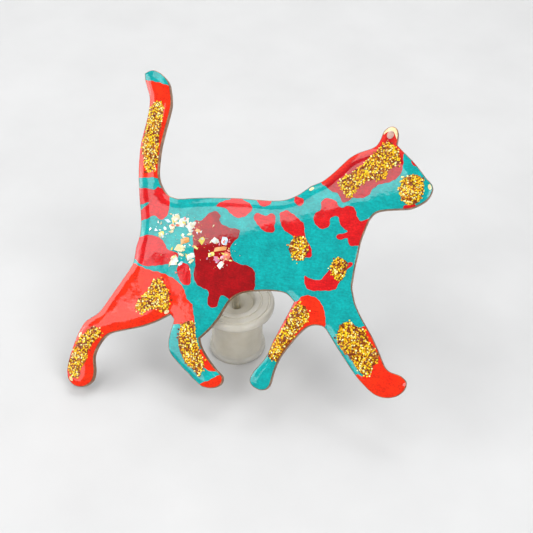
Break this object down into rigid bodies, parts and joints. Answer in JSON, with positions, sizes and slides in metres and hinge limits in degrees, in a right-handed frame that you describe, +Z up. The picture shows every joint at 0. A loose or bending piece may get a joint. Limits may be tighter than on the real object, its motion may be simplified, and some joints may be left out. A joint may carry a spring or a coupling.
{
  "type": "enamel pin",
  "caption": "Flat walking-cat enamel pin in turquoise with red patches and gold glitter, leaning back on the upright rubber clutch that grips its post.",
  "frame": {"origin": "centre of the clutch's flat foot", "axes": "+Z up along the clutch and post; +X level along the plate, towards the cat's head; the cat faces -Y and leans back 47.5 degrees from upright"},
  "size_m": [0.0507, 0.0379, 0.0353],
  "materials": {
    "coral_enamel": "gloss",
    "gold_glitter": "glittering flakes",
    "red_enamel": "gloss",
    "glaze": "clear gloss",
    "copper": "oxidised copper, satin",
    "counter_enamel": "gloss",
    "crimson_enamel": "gloss",
    "orange_red_enamel": "gloss",
    "flake_cream": "iridescent",
    "flake_white": "iridescent",
    "flake_yellow": "iridescent",
    "flake_orange": "iridescent",
    "flake_blue": "iridescent",
    "flake_coral": "iridescent",
    "flake_pink": "iridescent",
    "solder": "satin",
    "pad_steel": "satin",
    "silicone": "translucent, satin",
    "post_brass": "plated",
    "turquoise_enamel": "gloss"
  },
  "bodies": {
    "clutch": {"rubber_clutch": "silicone"},
    "pin": {"back_coral": "coral_enamel", "back_small_coral": "coral_enamel", "belly_gold": "gold_glitter", "brow_red": "red_enamel", "chest_crescent_red": "red_enamel", "chest_gold": "gold_glitter", "clear_glaze": "glaze", "copper_plate": "copper", "counter_enamel": "counter_enamel", "crimson_patch": "crimson_enamel", "flank_drop_red": "red_enamel", "flank_heart_red": "red_enamel", "front_far_gold": "gold_glitter", "front_far_leg_red": "orange_red_enamel", "front_near_gold": "gold_glitter", "front_near_leg_red": "orange_red_enamel", "head_crimson": "crimson_enamel", "head_gold": "gold_glitter", "hind_leg_gold": "gold_glitter", "hind_leg_red": "orange_red_enamel", "hip_small_red": "red_enamel", "jaw_red": "red_enamel", "neck_red": "red_enamel", "opal_flake_01": "flake_cream", "opal_flake_02": "flake_white", "opal_flake_03": "flake_cream", "opal_flake_04": "flake_white", "opal_flake_05": "flake_yellow", "opal_flake_06": "flake_orange", "opal_flake_07": "flake_yellow", "opal_flake_08": "flake_white", "opal_flake_09": "flake_blue", "opal_flake_10": "flake_orange", "opal_flake_11": "flake_yellow", "opal_flake_12": "flake_coral", "opal_flake_13": "flake_pink", "opal_flake_14": "flake_white", "opal_flake_15": "flake_cream", "opal_flake_16": "flake_white", "opal_flake_17": "flake_white", "opal_flake_18": "flake_orange", "pad_solder": "solder", "post_pad": "pad_steel", "rear_far_gold": "gold_glitter", "rear_far_paw_red": "red_enamel", "rear_far_toe_red": "red_enamel", "rump_red": "red_enamel", "shoulder_dot_coral": "coral_enamel", "snout_gold": "gold_glitter", "tack_post": "post_brass", "tail_base_red": "red_enamel", "tail_gold": "gold_glitter", "tail_red": "orange_red_enamel", "thigh_gold": "gold_glitter", "turquoise_ground": "turquoise_enamel"}
  },
  "joints": [
    {"name": "post_slide", "type": "slide", "parent": "clutch", "child": "pin", "axis": [0, 0, 1], "range_m": [0, 0.0065]}
  ]
}
